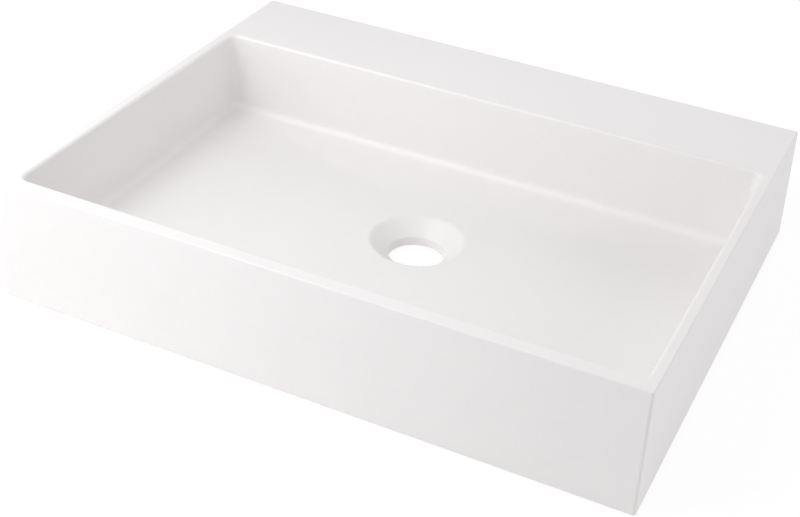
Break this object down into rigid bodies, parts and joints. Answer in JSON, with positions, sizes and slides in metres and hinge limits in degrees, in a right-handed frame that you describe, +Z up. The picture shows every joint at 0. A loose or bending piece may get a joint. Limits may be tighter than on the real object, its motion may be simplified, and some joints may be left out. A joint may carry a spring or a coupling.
{
  "type": "washbasin",
  "caption": "Rectangular counter-top wash basin cast in white granite composite, with a flat tap ledge at the back and a faceted floor that falls to an open drain.",
  "frame": {"origin": "middle of the basin's outline, on the counter that it stands on", "axes": "+X to the basin's right, along its longest side; +Y to its back, where the tap ledge is; +Z up"},
  "size_m": [0.5, 0.4, 0.098],
  "materials": {
    "granite_composite": "satin",
    "pad_silicone": "matte"
  },
  "bodies": {
    "root": {"basin_casting": "granite_composite", "counter_pad_front_left": "pad_silicone", "counter_pad_front_middle": "pad_silicone", "counter_pad_front_right": "pad_silicone", "counter_pad_back_left": "pad_silicone", "counter_pad_back_middle": "pad_silicone", "counter_pad_back_right": "pad_silicone"}
  },
  "joints": []
}
